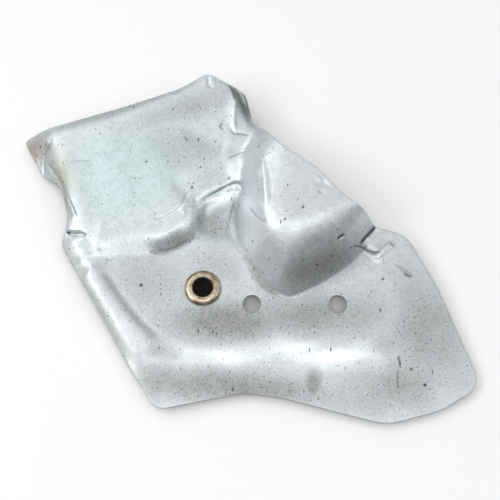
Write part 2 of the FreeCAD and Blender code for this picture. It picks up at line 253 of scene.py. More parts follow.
# Longer lines, and those that more than one list below follows, by the pixels they run through
CHANNEL_HEAD = [(192, 209), (200, 203), (208.5, 198.5), (219, 194.3), (231, 188.5), (238, 187), (248, 194)]
FOLD_STEP = [(197, 201), (205, 197), (218, 189.5), (228, 184), (235, 181.5), (240, 183), (246, 190)]
FOLD_LIP = [(226, 191.5), (235, 189.5), (240, 190.5), (246, 195)]
PANEL_SCORE = [(191, 188), (186, 195), (182, 203), (176, 209), (168, 214), (163, 217), (154, 219)]
BULGE_NICK = [(250, 208), (255, 214), (260, 219), (266, 222)]
LEFT_PLEAT = [(69, 197), (73.5, 206), (77, 216)]
FLAP_FOLD = [(375, 227), (367, 235), (360.5, 243)]
FLAP_TUCK = [(353, 246), (362, 247), (372, 251), (380, 252)]
FLAP_PUNCH = [(338, 239), (340, 236), (344, 234.5)]
EAR_CREASE = [(52, 142), (47.5, 148), (45.5, 156), (44.5, 166), (44.5, 178)]
LEFT_CREASE = [(47, 162), (53, 170), (58, 177), (62, 185), (64.5, 193), (65.5, 200)]
PAN_GROOVE = [(100, 268), (109, 279), (120, 295), (133, 312), (148, 328), (163, 340)]
BULGE_FOOT_LEFT = [(240, 190), (236, 205), (235, 220), (237.5, 236), (242.5, 252), (252, 268), (263, 284)]
BULGE_NOSE = [(245, 259), (258, 275), (268, 287), (280, 294), (290, 297), (300, 293)]
BULGE_FOOT_RIGHT = [(320, 283), (345, 267), (358, 255)]

# Folds, wrinkles and dents of the sheet: kind, half width, height, pixels
WRINKLES = [
    # Fold at the head of the channel
    ("above", 3.5, -1.4, CHANNEL_HEAD),
    ("below", 13.0, 1.3, CHANNEL_HEAD),
    ("step", 0.55, 0.4, FOLD_STEP),
    ("ridge", 0.7, -0.35, FOLD_LIP),
    ("ridge", 1.3, 0.5, [(181, 213), (185, 206), (190, 202), (196, 199)]),
    ("ridge", 0.8, -0.4, [(185, 212), (190, 206), (197, 202)]),
    ("ridge", 0.6, -0.22, PANEL_SCORE),
    # Nick and streaks on the crest of the bulge
    ("ridge", 0.55, -0.35, BULGE_NICK),
    ("ridge", 1.5, 0.2, [(260, 152), (262.5, 160), (263.5, 170), (265, 180), (265.5, 190), (266.5, 205)]),
    ("ridge", 1.1, -0.22, [(259, 164), (261, 172), (260.5, 180), (261.5, 190), (263, 200), (264, 210)]),
    ("ridge", 1.1, -0.22, [(265, 156), (267, 170), (269, 178), (269.5, 188), (270, 197), (270, 209)]),
    # Right end of the raised panel
    ("ridge", 0.8, 0.5, [(236, 99), (234.5, 112), (234, 122), (235.5, 132)]),
    ("ridge", 0.8, 0.5, [(230, 86), (234, 94), (236, 101)]),
    ("ridge", 0.9, -0.3, [(229, 123), (231, 129), (234, 133.5), (240, 133.5), (249, 135)]),
    ("ridge", 0.6, 0.15, [(228, 156), (236, 153), (245, 150), (251, 149)]),
    ("ridge", 1.2, -0.15, [(228, 159), (237, 155.5), (246, 153)]),
    # Waist on the left
    ("ridge", 1.2, 0.9, [(67, 196), (70, 203), (73, 209), (75.5, 217)]),
    ("ridge", 0.8, -0.5, LEFT_PLEAT),
    ("ridge", 0.9, -0.7, [(66, 232.5), (75, 233.5), (81, 233), (87, 236)]),
    ("ridge", 0.8, 0.5, [(66, 230), (78, 231), (89, 233.5)]),
    # Outer end of the bulge and the crumpled flap beside it
    ("ridge", 1.2, -0.6, [(319.5, 193), (323, 187), (328, 182)]),
    ("ridge", 1.2, 0.35, [(315, 176), (321, 181)]),
    ("ridge", 0.9, -1.5, FLAP_FOLD),
    ("ridge", 0.8, -0.6, FLAP_TUCK),
    ("ridge", 0.7, 0.5, [(345, 243), (352, 247), (362, 249.5), (371, 255), (377, 260)]),
    ("ridge", 1.5, 0.7, [(375, 259), (384, 250), (393, 244.5)]),
    ("ridge", 0.7, -1.0, FLAP_PUNCH),
    ("ridge", 1.4, 0.5, [(341, 238), (347, 240), (353, 244)]),
    # Ear and rolled left edge
    ("ridge", 0.8, -0.4, EAR_CREASE),
    ("ridge", 0.8, 0.3, [(50, 141), (45.5, 148), (43.5, 156), (42.5, 168)]),
    ("ridge", 1.0, -0.4, LEFT_CREASE),
    ("ridge", 2.0, 0.4, [(103, 219), (100, 235), (96.5, 251)]),
    ("ridge", 2.6, -0.4, [(84, 238), (89, 244), (94, 252)]),
    ("ridge", 2.6, 0.7, [(80, 253), (87, 263), (93, 274)]),
    ("ridge", 2.2, -0.8, PAN_GROOVE),
    ("ridge", 0.8, -0.4, [(208, 76), (209, 84), (212, 87.5)]),
    # Feet of the bulge and of the step
    ("ridge", 1.1, -0.4, BULGE_NOSE + BULGE_FOOT_RIGHT),
    ("ridge", 1.0, -0.3, [(157, 250.5), (163, 252), (172, 250), (178, 246.5), (189, 240)]),
    # Shallow dip in the panel and nicks along its torn edge
    ("ridge", 3.4, -0.4, [(183, 127), (205, 140), (229, 148)]),
    ("ridge", 0.6, 0.5, [(235, 93), (240, 94), (245.5, 97)]),
    ("ridge", 0.6, 0.5, [(238, 101), (243, 103.5), (248, 107)]),
    ("ridge", 0.6, 0.4, [(241, 109), (246, 112), (250, 116)]),
]

# Dark scratches, and lines of painted shade in creases, at the feet of walls and across the bulge's front
# wall: half width, depth of colour, pixels
SCRATCHES_AND_PAINTED_SHADE = [
    (0.22, 0.6, [(395, 264.5), (401, 269), (407, 274), (412, 277)]),
    (0.22, 0.55, [(398, 265), (404, 269), (411, 274)]),
    # Painted shade at the foot of the step wall
    (0.5, 0.45, [(158, 251), (167, 250), (178, 246), (187, 240)]),
    # Broad painted shade across the lower front wall of the bulge
    (6.0, 0.22, [(283, 262), (300, 270), (325, 263), (352, 247)]),
    (0.5, 0.8, [(404, 273), (408, 275.5), (411.5, 276)]),
    (1.6, 0.6, [(231, 87), (238, 95), (243, 105), (248, 117)]),
    (0.5, 0.8, [(229, 85), (232, 91), (235, 100)]),
    (0.5, 0.85, [(242, 93), (246, 100), (248, 109), (252, 119)]),
    (0.5, 0.8, [(398, 357), (399.5, 362), (400, 366)]),
    (0.3, 0.6, [(398, 370), (397.5, 380), (398, 389)]),
    (0.18, 0.4, [(70, 162.5), (78, 161), (92, 160.5)]),
    (0.3, 0.8, [(222.5, 123.5), (220, 126.5), (223, 130)]),
    (0.3, 0.8, [(184.5, 136.5), (187.5, 141)]),
    (0.25, 0.35, PANEL_SCORE),
    (0.25, 0.5, BULGE_NICK),
    # Painted shade lines along the fold at the head of the channel
    (0.22, 0.3, [(197, 202), (205, 198), (218, 190.5), (228, 185), (235, 182.5), (240, 184), (246, 191)]),
    (0.25, 0.35, FOLD_LIP),
    # Painted shade in the fold, tuck and punch marks of the crumpled flap
    (0.55, 1.0, FLAP_FOLD),
    (0.35, 0.9, FLAP_TUCK),
    (0.5, 1.0, FLAP_PUNCH),
    # Painted shade in the creases at the ear and the waist on the left
    (0.2, 0.45, EAR_CREASE),
    (0.3, 0.3, LEFT_CREASE),
    (0.5, 1.0, [(66.5, 232.3), (70, 232.8)]),
    (0.25, 0.5, [(70, 232.8), (75, 233.5), (81, 233), (86, 235.5)]),
    (0.2, 0.3, LEFT_PLEAT),
    (0.4, 0.6, [(231, 129), (234, 133.5), (240, 133.5), (249, 135)]),
    (0.35, 0.6, [(228, 158), (237, 154.5), (246, 151)]),
]

# Dark dots: pixel, radius
DOTS = [
    (192, 187.5, 0.55), (146.5, 161.5, 0.4), (200.5, 167, 0.4), (229, 178, 0.45), (425, 385, 0.7),
    (411, 369, 0.5), (383, 279, 0.5), (317, 265, 0.45), (331, 256, 0.4), (285, 219, 0.4), (303, 207, 0.5),
    (141, 285, 0.7),
]

# Soft patches of dirt mixed with painted shade, baked tan, painted highlights and cool metal:
# centre, half length and half width in pixels, turn in degrees, strength
# Dirt, with painted shade on the bulge's front wall, at the foot of the step wall, along the rolled left
# edge, on the ear and at the ends of the lower band's highlight
GRIME_AND_PAINTED_SHADE = [
    (215, 224, 22, 18, 0, 0.9), (215, 268, 34, 22, 0, 0.45), (225, 322, 60, 21, 0, 1.2),
    (310, 315, 85, 23, 0, 0.88), (180, 320, 40, 20, 30, 0.5), (313, 384, 9, 14, 10, 1.2),
    (150, 285, 50, 34, 30, 0.5), (318, 266, 44, 15, -25, 1.1), (185, 150, 48, 28, 22, 0.42),
    (292, 196, 30, 24, 30, 0.22), (430, 330, 45, 60, 0, 0.75), (225, 387, 110, 19, 5, 1.0),
    (395, 386, 80, 30, -10, 0.7), (165, 352, 24, 12, 20, 0.55), (203, 358, 30, 8, 8, 0.3),
    (385, 345, 22, 14, -20, 0.5), (178, 241, 20, 7, -28, 1.1), (185, 108, 60, 14, -18, 0.55),
    (125, 107, 80, 9, -22, 0.65), (241, 106, 24, 4, 65, 1.2), (370, 310, 40, 25, 0, 0.5),
    (34, 152, 18, 20, 60, 0.8), (80, 292, 70, 5, 60, 0.8), (60, 190, 34, 8, 70, 0.6),
]
TAN = [
    (62, 172, 34, 14, 65, 0.6), (62, 200, 22, 10, 80, 0.6), (34, 152, 16, 18, 60, 0.7),
    (76, 260, 30, 7, 65, 0.4), (110, 320, 70, 7, 58, 0.35),
]
# Painted highlights: beside the left face of the bulge, on its top, along the lower band, below the fold at
# the head of the channel and on the left corner of the pan
PAINTED_HIGHLIGHT_AREAS = [
    (250, 222, 12, 34, 0, 1.0), (248, 165, 9, 26, 0, 0.4), (300, 185, 36, 30, 30, 0.2),
    (340, 356, 26, 6, -5, 0.9), (300, 347, 26, 5, -8, 0.4), (220, 357, 28, 6, 8, 0.5),
    (216, 203, 18, 5, -25, 0.8), (86, 262, 8, 6, 50, 0.6),
]
COOL_AREA = [(130, 168, 95, 60, -15, 1.0), (215, 225, 25, 20, 0, 0.7)]

# Dirt and painted shade along the feet of the walls and in the groove beside the pan: half width, strength,
# pixels
DIRT_AND_SHADE_LINES = [
    (2.2, 1.0, BULGE_FOOT_LEFT + [(276, 293), (288, 297)]),
    (1.0, 0.6, [(288, 297), (300, 294)] + BULGE_FOOT_RIGHT),
    (1.8, 0.6, PAN_GROOVE),
    (1.3, 0.9, [(146, 251), (163, 252), (178, 247), (189, 241), (197, 231)]),
]


def read_skin(mesh):
    """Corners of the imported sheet, and the triangles of its upper face, the largest in plan."""
    corners = np.empty(3 * len(mesh.vertices))
    mesh.vertices.foreach_get("co", corners)
    corners = corners.reshape(-1, 3) / MM
    mesh.calc_loop_triangles()
    triangles = np.empty(3 * len(mesh.loop_triangles), dtype=np.int32)
    mesh.loop_triangles.foreach_get("vertices", triangles)
    triangles = triangles.reshape(-1, 3)
    face = np.arange(len(corners))
    while True:
        joined = face.copy()
        np.minimum.at(joined, triangles.ravel(), np.repeat(face[triangles].min(axis=1), 3))
        joined = joined[joined]
        if np.array_equal(joined, face):
            break
        face = joined
    a, b, c = (corners[triangles[:, i], :2] for i in range(3))
    plan_area = (b - a)[:, 0] * (c - a)[:, 1] - (b - a)[:, 1] * (c - a)[:, 0]
    owner = face[triangles[:, 0]]
    largest = np.bincount(owner, weights=plan_area).argmax()
    return corners, triangles[owner == largest]


def rims(triangles):
    """Loops of corners along the open edges of a set of triangles, with the sheet on their left."""
    edges = set()
    for a, b, c in triangles:
        edges.update(((a, b), (b, c), (c, a)))
    follow = {a: b for a, b in edges if (b, a) not in edges}
    loops = []
    while follow:
        start = min(follow)
        loop = [start]
        at = follow.pop(start)
        while at != start:
            loop.append(at)
            at = follow.pop(at)
        loops.append(loop)
    return loops


def measured(chain):
    """Lengths of a chain's links, and the way run to each of its points."""
    lengths = np.hypot(*np.diff(chain, axis=0).T)
    return lengths, np.concatenate([[0.0], np.cumsum(lengths)])


def along(chain, run, at):
    """Points of a chain at given ways run."""
    return np.stack([np.interp(at, run, chain[:, k]) for k in range(2)], axis=1)


def left_of(ahead):
    """Unit vectors to the left of a row of headings."""
    ahead = ahead / np.maximum(np.hypot(ahead[:, 0], ahead[:, 1]), TINY)[:, None]
    return np.stack([-ahead[:, 1], ahead[:, 0]], axis=1)


def ring(count):
    """Unit vectors at even turns."""
    turn = np.arange(count) * FULL_TURN / count
    return np.stack([np.cos(turn), np.sin(turn)], axis=1)


def even_loop(points, spacing):
    """Points at even spacing round a closed loop."""
    closed = np.vstack([points, points[:1]])
    _, run = measured(closed)
    count = int(round(run[-1] / spacing))
    return along(closed, run, np.arange(count) * run[-1] / count)


def within(points, loop):
    """Which points lie inside a closed loop."""
    odd = np.zeros(len(points), dtype=bool)
    x, y = points.T
    for (ax, ay), (bx, by) in zip(loop, np.roll(loop, -1, axis=0)):
        if ay != by:
            odd ^= ((ay > y) != (by > y)) & (x < (bx - ax) * (y - ay) / (by - ay) + ax)
    return odd


def blur(grid, reach):
    """Gaussian blur of a grid, reach in cells."""
    span = int(math.ceil(BLUR_SPAN * reach))
    weights = np.exp(-0.5 * (np.arange(-span, span + 1) / reach) ** 2)
    weights /= weights.sum()
    for axis in range(2):
        pads = [(0, 0), (0, 0)]
        pads[axis] = (span, span)
        wide = np.pad(grid, pads, mode="edge")
        size = grid.shape[axis]
        grid = sum(w * np.take(wide, np.arange(k, k + size), axis=axis) for k, w in enumerate(weights))
    return grid


def shifted(wide, i, j, size):
    """The part of a padded grid that lies i and j cells on from its middle."""
    i += FILL_CELLS
    j += FILL_CELLS
    return wide[i:i + size[0], j:j + size[1]]


class Skin:
    """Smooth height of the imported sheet's upper face over a plan grid."""

    def __init__(self, corners, triangles):
        used = corners[np.unique(triangles)]
        self.low = used[:, :2].min(axis=0) - MARGIN
        self.count = np.ceil((used[:, :2].max(axis=0) + MARGIN - self.low) / TOP_STEP).astype(int) + 1
        tree = BVHTree.FromPolygons(corners.tolist(), triangles.tolist())
        above = float(used[:, 2].max()) + CAST_FROM
        down = Vector((0.0, 0.0, -1.0))
        self.grid = np.full(self.count, np.nan)
        for i in range(self.count[0]):
            x = self.low[0] + i * TOP_STEP
            for j in range(self.count[1]):
                y = self.low[1] + j * TOP_STEP
                hit = tree.ray_cast(Vector((x, y, above)), down)[0]
                if hit is not None:
                    self.grid[i, j] = hit.z
        self.fill()
        self.grid = blur(self.grid, SMOOTH_REACH / TOP_STEP)

    def fill(self):
        """Carries the heights on past the trimmed edges at the slope they have there."""
        size = self.grid.shape
        while np.isnan(self.grid).any():
            wide = np.pad(self.grid, FILL_CELLS, mode="constant", constant_values=np.nan)
            total = np.zeros(size)
            found = np.zeros(size)
            for i, j in NEIGHBOURS:
                near = shifted(wide, i, j, size)
                far = shifted(wide, FILL_CELLS * i, FILL_CELLS * j, size)
                guess = np.where(np.isnan(far), near, near + (near - far) / (FILL_CELLS - 1))
                good = ~np.isnan(guess)
                total[good] += guess[good]
                found += good
            empty = np.isnan(self.grid) & (found > 0)
            self.grid[empty] = total[empty] / found[empty]

    def height(self, x, y):
        """Heights at plan positions, between the grid's points."""
        u = np.clip((x - self.low[0]) / TOP_STEP, 0.0, self.count[0] - GRID_END)
        v = np.clip((y - self.low[1]) / TOP_STEP, 0.0, self.count[1] - GRID_END)
        i = u.astype(int)
        j = v.astype(int)
        u = u - i
        v = v - j
        near = self.grid[i, j] * (1.0 - u) + self.grid[i + 1, j] * u
        far = self.grid[i, j + 1] * (1.0 - u) + self.grid[i + 1, j + 1] * u
        return near * (1.0 - v) + far * v

    def under_pixels(self, pixels):
        """Plan positions on the sheet that the camera sees at these pixels."""
        pixels = np.array(pixels, dtype=float)
        across = (pixels[:, :1] - 0.5 * PICTURE) / FOCAL_PIXELS
        up = (0.5 * PICTURE - pixels[:, 1:2]) / FOCAL_PIXELS
        rays = CAMERA_AHEAD + across * CAMERA_RIGHT + up * CAMERA_UP
        z = np.zeros(len(pixels))
        for _ in range(CAST_STEPS):
            reach = (z - CAMERA_PLACE[2]) / rays[:, 2]
            places = CAMERA_PLACE + rays * reach[:, None]
            z = 0.5 * (z + self.height(places[:, 0], places[:, 1]))
        return places[:, :2]

    def line(self, pixels):
        """A smooth chain on the sheet through the places under these pixels."""
        return flowing(self.under_pixels(pixels))


def flowing(points):
    """A smooth chain through the points."""
    ends = np.vstack([2.0 * points[0] - points[1], points, 2.0 * points[-1] - points[-2]])
    chain = [points[:1]]
    t = (np.arange(CHAIN_PIECES) + 1.0)[:, None] / CHAIN_PIECES
    for a, b, c, d in zip(ends, ends[1:], ends[2:], ends[3:]):
        square = 2.0 * a - 5.0 * b + 4.0 * c - d
        cube = 3.0 * b - a - 3.0 * c + d
        chain.append(0.5 * (2.0 * b + (c - a) * t + square * t ** 2 + cube * t ** 3))
    return np.vstack(chain)


def beside(points, chain):
    """Distance of points from a chain, positive on its left, and the share of the way along it."""
    gap = np.full(len(points), np.inf)
    side = np.ones(len(points))
    share = np.zeros(len(points))
    lengths, run = measured(chain)
    for k, (a, b) in enumerate(zip(chain, chain[1:])):
        edge = b - a
        t = np.clip(((points - a) @ edge) / max(lengths[k] ** 2, TINY), 0.0, 1.0)
        off = points - a - t[:, None] * edge
        distance = np.hypot(off[:, 0], off[:, 1])
        closer = distance < gap
        gap = np.where(closer, distance, gap)
        side = np.where(closer, np.sign(edge[0] * off[:, 1] - edge[1] * off[:, 0]), side)
        share = np.where(closer, (run[k] + t * lengths[k]) / run[-1], share)
    return gap * side, share


def near_chain(points, chain, reach):
    """Numbers of the points in the box around a chain."""
    low = chain.min(axis=0) - reach
    high = chain.max(axis=0) + reach
    return np.nonzero(((points > low) & (points < high)).all(axis=1))[0]


def tapered(share):
    """Strength of a line at a share of its way, less towards its ends."""
    return np.clip(np.minimum(share, 1.0 - share) / TAPER_SHARE + TAPER_START, 0.0, 1.0)


def stroke(points, chain, half_width):
    """Numbers of the points near a chain, the strength of a soft line at each, and the share of the way."""
    chosen = near_chain(points, chain, LINE_REACH * half_width)
    offset, share = beside(points[chosen], chain)
    return chosen, np.exp(-(offset / half_width) ** 2), share


def add_wrinkles(points, heights, wrinkles, narrowest):
    """Raises or sinks the heights along each wrinkle that isn't too narrow."""
    for kind, half_width, height, chain in wrinkles:
        if half_width < narrowest:
            continue
        reach = STEP_REACH if kind == "step" else LINE_REACH
        chosen = near_chain(points, chain, reach * half_width)
        offset, share = beside(points[chosen], chain)
        if kind == "step":
            lift = 0.5 + 0.5 * np.tanh(offset / (STEP_EASE * half_width))
            lift *= np.exp(-np.maximum(offset, 0.0) / (STEP_FADE * half_width))
        else:
            lift = np.exp(-(offset / half_width) ** 2)
        if kind in ("above", "below"):
            side = 1.0 if kind == "above" else -1.0
            lift *= 0.5 + 0.5 * np.tanh(side * offset / BANK_EASE)
        heights[chosen] += height * lift * tapered(share)


def add_waves(points, heights):
    """Faint unevenness of the pressing."""
    dice = np.random.default_rng(WAVE_SEED)
    for _ in range(WAVES):
        turn = dice.uniform(0.0, FULL_TURN)
        length = dice.uniform(*WAVE_LENGTHS)
        phase = dice.uniform(0.0, FULL_TURN)
        way = points @ np.array([math.cos(turn), math.sin(turn)])
        heights += WAVE_HEIGHT * np.sin(FULL_TURN * way / length + phase)


def refined(chains, spacing, offsets):
    """Extra mesh points along narrow lines."""
    extra = []
    for chain in chains:
        _, run = measured(chain)
        line = along(chain, run, np.arange(0.0, run[-1], spacing))
        left = left_of(np.gradient(line, axis=0))
        for offset in offsets:
            extra.append(line + left * offset)
    return np.vstack(extra)


def on_sheet(points, outer, holes):
    """The points inside the outline and outside the holes."""
    points = points[within(points, outer)]
    for centre, radius in holes:
        points = points[np.hypot(*(points - centre).T) > radius]
    return points


def apart(points, others, gap):
    """The points that lie further than a gap from all others."""
    tree = KDTree(len(others))
    for k, (x, y) in enumerate(others.tolist()):
        tree.insert((x, y, 0.0), k)
    tree.balance()
    return [p for p in points.tolist() if tree.find((p[0], p[1], 0.0))[2] > gap]


def thinned(points, gap):
    """Leaves out points that fall on top of one another."""
    cells = {}
    for p in points:
        cells.setdefault((round(p[0] / gap), round(p[1] / gap)), p)
    return list(cells.values())


def fan(loops, holes, step, extra):
    """Triangles that fill the outline between its holes, with corners on a grid and at the extra points."""
    outer = loops[0]
    low = outer.min(axis=0)
    high = outer.max(axis=0)
    x = np.arange(low[0], high[0], step)
    y = np.arange(low[1], high[1], step)
    field = np.stack(np.meshgrid(x, y, indexing="ij"), axis=-1).reshape(-1, 2)
    kept = np.vstack(loops)
    fine = thinned(apart(on_sheet(extra, outer, holes), kept, FINE_CLEAR), FINE_CLEAR)
    kept = np.vstack([kept, np.array(fine).reshape(-1, 2)])
    coarse = apart(on_sheet(field, outer, holes), kept, FIELD_CLEAR * step)
    kept = np.vstack([kept, np.array(coarse).reshape(-1, 2)])
    edges = []
    start = 0
    for loop in loops:
        count = len(loop)
        edges.extend((start + k, start + (k + 1) % count) for k in range(count))
        start += count
    places, _, faces, _, _, _ = delaunay_2d_cdt([Vector(p) for p in kept.tolist()], edges, [], 1, WELD)
    places = np.array([(p.x, p.y) for p in places])
    faces = np.array([f for f in faces if len(f) == 3])
    centres = places[faces].mean(axis=1)
    solid = within(centres, outer)
    for centre, radius in holes:
        solid &= np.hypot(*(centres - centre).T) > radius * math.cos(math.pi / HOLE_POINTS) - PLAN_SLACK
    return places, faces[solid]


def trimmed_edges(corners, triangles):
    """Loops along the outline, which comes first, and round the holes, and the holes' centres and radii."""
    loops = []
    holes = []
    for loop in rims(triangles.tolist()):
        plan = corners[loop, :2]
        if np.ptp(plan[:, 0]) > OUTLINE_SPAN:
            loops.insert(0, even_loop(plan, TOP_STEP))
            continue
        centre = 0.5 * (plan.min(axis=0) + plan.max(axis=0))
        radius = float(np.hypot(*(plan - centre).T).mean())
        if np.hypot(*centre) < BUSH_NEAR:
            radius = BUSH_HOLE_R
        holes.append((centre, radius))
        loops.append(centre + radius * ring(HOLE_POINTS))
    return loops, holes


def inset_edges(loops):
    """Rows of points on the sheet just inside each edge."""
    rows = []
    for loop in loops:
        left = left_of(np.roll(loop, -1, axis=0) - np.roll(loop, 1, axis=0))
        inward = left if within((loop + EDGE_INSET * left)[:1], loop)[0] else -left
        rows.append(loop + EDGE_INSET * (inward if loop is loops[0] else -inward))
    return rows


def fine_points(wrinkles, scratches_and_shade, dots):
    """Extra mesh points for what is narrower than the grid."""
    narrow = [chain for _, half_width, _, chain in wrinkles if half_width < NARROW]
    extra = [refined(narrow, WRINKLE_SPACING, WRINKLE_OFFSETS)]
    extra.append(refined([chain for _, _, chain in scratches_and_shade], SCRATCH_SPACING, SCRATCH_OFFSETS))
    for place, radius in dots:
        for share, count in DOT_RINGS:
            extra.append(place + share * radius * ring(count))
    return extra


def press_flat(plan, heights, level):
    """Presses the sheet flat between the flange and the lip of the bush."""
    heights[np.hypot(plan[:, 0], plan[:, 1]) < SEAT_R] = level


def top_heights(skin, plan, wrinkles):
    """Heights of the upper face."""
    heights = skin.height(*plan.T)
    add_waves(plan, heights)
    add_wrinkles(plan, heights, wrinkles, 0.0)
    press_flat(plan, heights, SEAT_TOP)
    return heights


def under_heights(skin, plan, wrinkles):
    """Heights of the underside, one sheet's thickness from the upper face along its normal."""
    x, y = plan.T
    slope_x = (skin.height(x + SLOPE_STEP, y) - skin.height(x - SLOPE_STEP, y)) / (2.0 * SLOPE_STEP)
    slope_y = (skin.height(x, y + SLOPE_STEP) - skin.height(x, y - SLOPE_STEP)) / (2.0 * SLOPE_STEP)
    heights = skin.height(x, y)
    add_waves(plan, heights)
    add_wrinkles(plan, heights, wrinkles, UNDER_NARROWEST)
    heights -= SHEET_T * np.sqrt(1.0 + slope_x ** 2 + slope_y ** 2)
    press_flat(plan, heights, SEAT_UNDER)
    return heights


def plan_key(place):
    return round(place[0], PLAN_DIGITS), round(place[1], PLAN_DIGITS)


def edge_walls(top_loops, top_plan, under_plan):
    """Faces of the trimmed edges, and the pairs of corners along their sharp rims."""
    where = {plan_key(place): len(top_plan) + k for k, place in enumerate(under_plan.tolist())}
    walls = []
    sharp = set()
    for loop in top_loops:
        lower = [where[plan_key(place)] for place in top_plan[loop].tolist()]
        for k in range(len(loop)):
            n = (k + 1) % len(loop)
            walls.append((loop[k], lower[k], lower[n], loop[n]))
            sharp.add(frozenset((loop[k], loop[n])))
            sharp.add(frozenset((lower[k], lower[n])))
    return walls, sharp


def new_piece(name, places, faces, material):
    """An object with a mesh of these corners and faces."""
    mesh = bpy.data.meshes.new(name)
    mesh.from_pydata((places * MM).tolist(), [], faces)
    mesh.update()
    mesh.materials.append(material)
    piece = bpy.data.objects.new(name, mesh)
    bpy.context.scene.collection.objects.link(piece)
    return piece


def make_sheet(node, material):
    """The pressed sheet, with its wrinkles, marks, dirt, painted shade and painted highlights."""
    corners, triangles = read_skin(node.data)
    skin = Skin(corners, triangles)
    loops, holes = trimmed_edges(corners, triangles)
    wrinkles = [(kind, width, height, skin.line(pixels)) for kind, width, height, pixels in WRINKLES]
    scratches_and_shade = [(width, strength, skin.line(pixels)) for width, strength, pixels in SCRATCHES_AND_PAINTED_SHADE]
    dots = [(skin.under_pixels([(x, y)])[0], radius) for x, y, radius in DOTS]
    extra = np.vstack(inset_edges(loops) + fine_points(wrinkles, scratches_and_shade, dots))
    top_plan, top_faces = fan(loops, holes, TOP_STEP, extra)
    under_plan, under_faces = fan(loops, holes, UNDER_STEP, np.empty((0, 2)))
    top_loops = rims(top_faces.tolist())
    walls, sharp = edge_walls(top_loops, top_plan, under_plan)
    top = top_heights(skin, top_plan, wrinkles)
    for loop in top_loops:
        top[loop] -= EDGE_ROUND
    under = under_heights(skin, under_plan, wrinkles)
    places = np.vstack([np.column_stack([top_plan, top]), np.column_stack([under_plan, under])])
    faces = top_faces.tolist() + (under_faces[:, ::-1] + len(top_plan)).tolist() + walls
    sheet = new_piece("shield_sheet", places, faces, material)
    mesh = sheet.data
    mesh.shade_smooth()
    is_sharp = [frozenset(edge.vertices) in sharp for edge in mesh.edges]
    mesh.attributes.new("sharp_edge", "BOOLEAN", "EDGE").data.foreach_set("value", is_sharp)
    paint(mesh, skin, places[:, :2], len(top_plan), scratches_and_shade, dots)
    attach(sheet, "root")
    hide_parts("pressed_shield")


def blobs(points, skin, rows):
    """Strength of soft patches given by pixel."""
    total = np.zeros(len(points))
    for x, y, length, width, turn, strength in rows:
        turn = math.radians(turn)
        off = points - skin.under_pixels([(x, y)])[0]
        ahead = (off[:, 0] * math.cos(turn) - off[:, 1] * math.sin(turn)) / (length * PIXEL)
        across = (off[:, 0] * math.sin(turn) + off[:, 1] * math.cos(turn)) / (width * PIXEL)
        total = np.maximum(total, strength * np.exp(-(ahead ** 2 + across ** 2)))
    return total


def paint(mesh, skin, points, top_count, scratches_and_shade, dots):
    """Layers of dark marks with painted shade lines, dirt with painted shade, tan, cool metal and painted
    highlights on the sheet's corners.
    """
    top = points[:top_count]
    marks_and_shade = np.zeros(len(points))
    for half_width, strength, chain in scratches_and_shade:
        chosen, line, share = stroke(top, chain, half_width)
        line = strength * line * np.clip(tapered(share) + SCRATCH_BLUNT, 0.0, 1.0)
        marks_and_shade[chosen] = np.maximum(marks_and_shade[chosen], line)
    for place, radius in dots:
        gap = np.hypot(*(top - place).T)
        dot = np.clip(DOT_CORE - DOT_FADE * gap / radius, 0.0, 1.0)
        marks_and_shade[:top_count] = np.maximum(marks_and_shade[:top_count], dot)
    grime_and_shade = blobs(points, skin, GRIME_AND_PAINTED_SHADE)
    for half_width, strength, pixels in DIRT_AND_SHADE_LINES:
        chosen, line, share = stroke(top, skin.line(pixels), half_width)
        grime_and_shade[chosen] = np.maximum(grime_and_shade[chosen], strength * line * tapered(share))
    painted_highlight = blobs(points, skin, PAINTED_HIGHLIGHT_AREAS)
    grime_and_shade *= 1.0 - painted_highlight
    grime_and_shade[top_count:] = UNDER_GRIME
    layers = {"marks_and_shade": marks_and_shade, "grime_and_shade": grime_and_shade, "painted_highlight": painted_highlight}
    layers["tan"] = blobs(points, skin, TAN)
    layers["cool"] = blobs(points, skin, COOL_AREA)
    for name, values in layers.items():
        mesh.attributes.new(name, "FLOAT", "POINT").data.foreach_set("value", values)


def nodes_of(name):
    """A new material, its node tree and its shader."""
    material = bpy.data.materials.new(name)
    material.use_nodes = True
    tree = material.node_tree
    return material, tree, tree.nodes["Principled BSDF"]


def feed(tree, source, socket):
    """Links a socket to another one, or sets it to a constant."""
    if isinstance(source, bpy.types.NodeSocket):
        tree.links.new(source, socket)
    else:
        socket.default_value = source


def maths(tree, operation, a, b):
    node = tree.nodes.new("ShaderNodeMath")
    node.operation = operation
    feed(tree, a, node.inputs[0])
    feed(tree, b, node.inputs[1])
    return node.outputs["Value"]


def ranged(tree, value, low, high, to_low=0.0, to_high=1.0):
    """A value eased from one range to another."""
    node = tree.nodes.new("ShaderNodeMapRange")
    node.interpolation_type = "SMOOTHSTEP"
    sources = {"Value": value, "From Min": low, "From Max": high, "To Min": to_low, "To Max": to_high}
    for name, source in sources.items():
        feed(tree, source, node.inputs[name])
    return node.outputs["Result"]


def blend(tree, share, a, b, mode="MIX"):
    """One colour laid over another by a share."""
    node = tree.nodes.new("ShaderNodeMix")
    node.data_type = "RGBA"
    node.blend_type = mode
    feed(tree, share, node.inputs[MIX_SHARE])
    feed(tree, a, node.inputs[MIX_A])
    feed(tree, b, node.inputs[MIX_B])
    return node.outputs[MIX_RESULT]


def layer(tree, name):
    """A painted layer of the mesh."""
    node = tree.nodes.new("ShaderNodeAttribute")
    node.attribute_name = name
    return node.outputs["Fac"]


def spot_place(tree, stretch):
    """Object coordinates, drawn out along each axis."""
    place = tree.nodes.new("ShaderNodeTexCoord")
    node = tree.nodes.new("ShaderNodeVectorMath")
    node.operation = "MULTIPLY"
    tree.links.new(place.outputs["Object"], node.inputs[0])
    node.inputs[1].default_value = stretch
    return node.outputs["Vector"]


